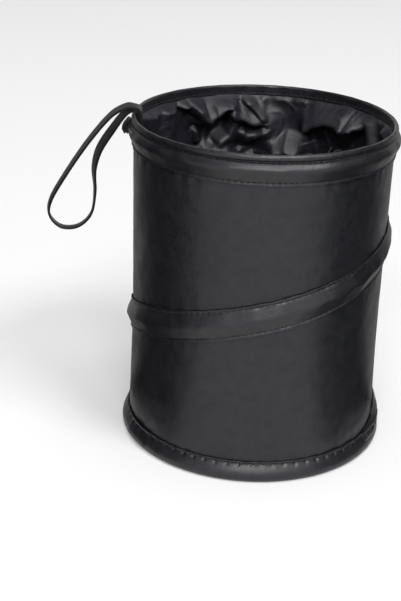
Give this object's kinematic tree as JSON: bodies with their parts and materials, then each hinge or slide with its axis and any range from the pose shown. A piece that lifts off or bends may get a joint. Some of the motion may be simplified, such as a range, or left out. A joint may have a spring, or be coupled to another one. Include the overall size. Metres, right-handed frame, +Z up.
{
  "type": "car trash bin",
  "caption": "Pop-up cylindrical cloth bin held open by a spiral spring wire, with taped rim and base, a loose liner and a hanging strap; it collapses flat.",
  "frame": {"origin": "centre of the base's underside, on the floor that the bin stands on", "axes": "+Z up along the bin's axis, -Y towards the viewer, the hanging strap on the -X side"},
  "size_m": [0.2109, 0.164, 0.2042],
  "materials": {
    "binding_tape": "twill tape, matt with a faint sheen",
    "wall_cloth": "coated woven polyester, soft satin sheen",
    "base_cloth": "coated woven polyester, matt",
    "liner_cloth": "thin coated polyester, glossy satin",
    "thread": "sewing thread",
    "strap_tape": "folded tape, matt",
    "spring_steel": "drawn wire",
    "ferrule_metal": "crimped"
  },
  "bodies": {
    "base": {"base_band": "binding_tape", "base_cloth": "base_cloth", "base_thread": "thread", "lower_ferrule": "ferrule_metal", "spring_wire": "spring_steel", "wall": "wall_cloth", "spiral_band": "binding_tape", "spiral_threads": "thread", "liner": "liner_cloth"},
    "rim": {"rim_band": "binding_tape", "rim_threads": "thread", "upper_ferrule": "ferrule_metal", "hang_strap": "strap_tape", "strap_tail": "strap_tape"}
  },
  "joints": [
    {"name": "collapse", "type": "slide", "parent": "base", "child": "rim", "axis": [0, 0, 1], "range_m": [-0.165, 0], "stiffness_N_per_m": 30, "springref_m": 0.03, "deforming": ["spring_wire", "wall", "spiral_band", "spiral_threads", "liner"]}
  ]
}
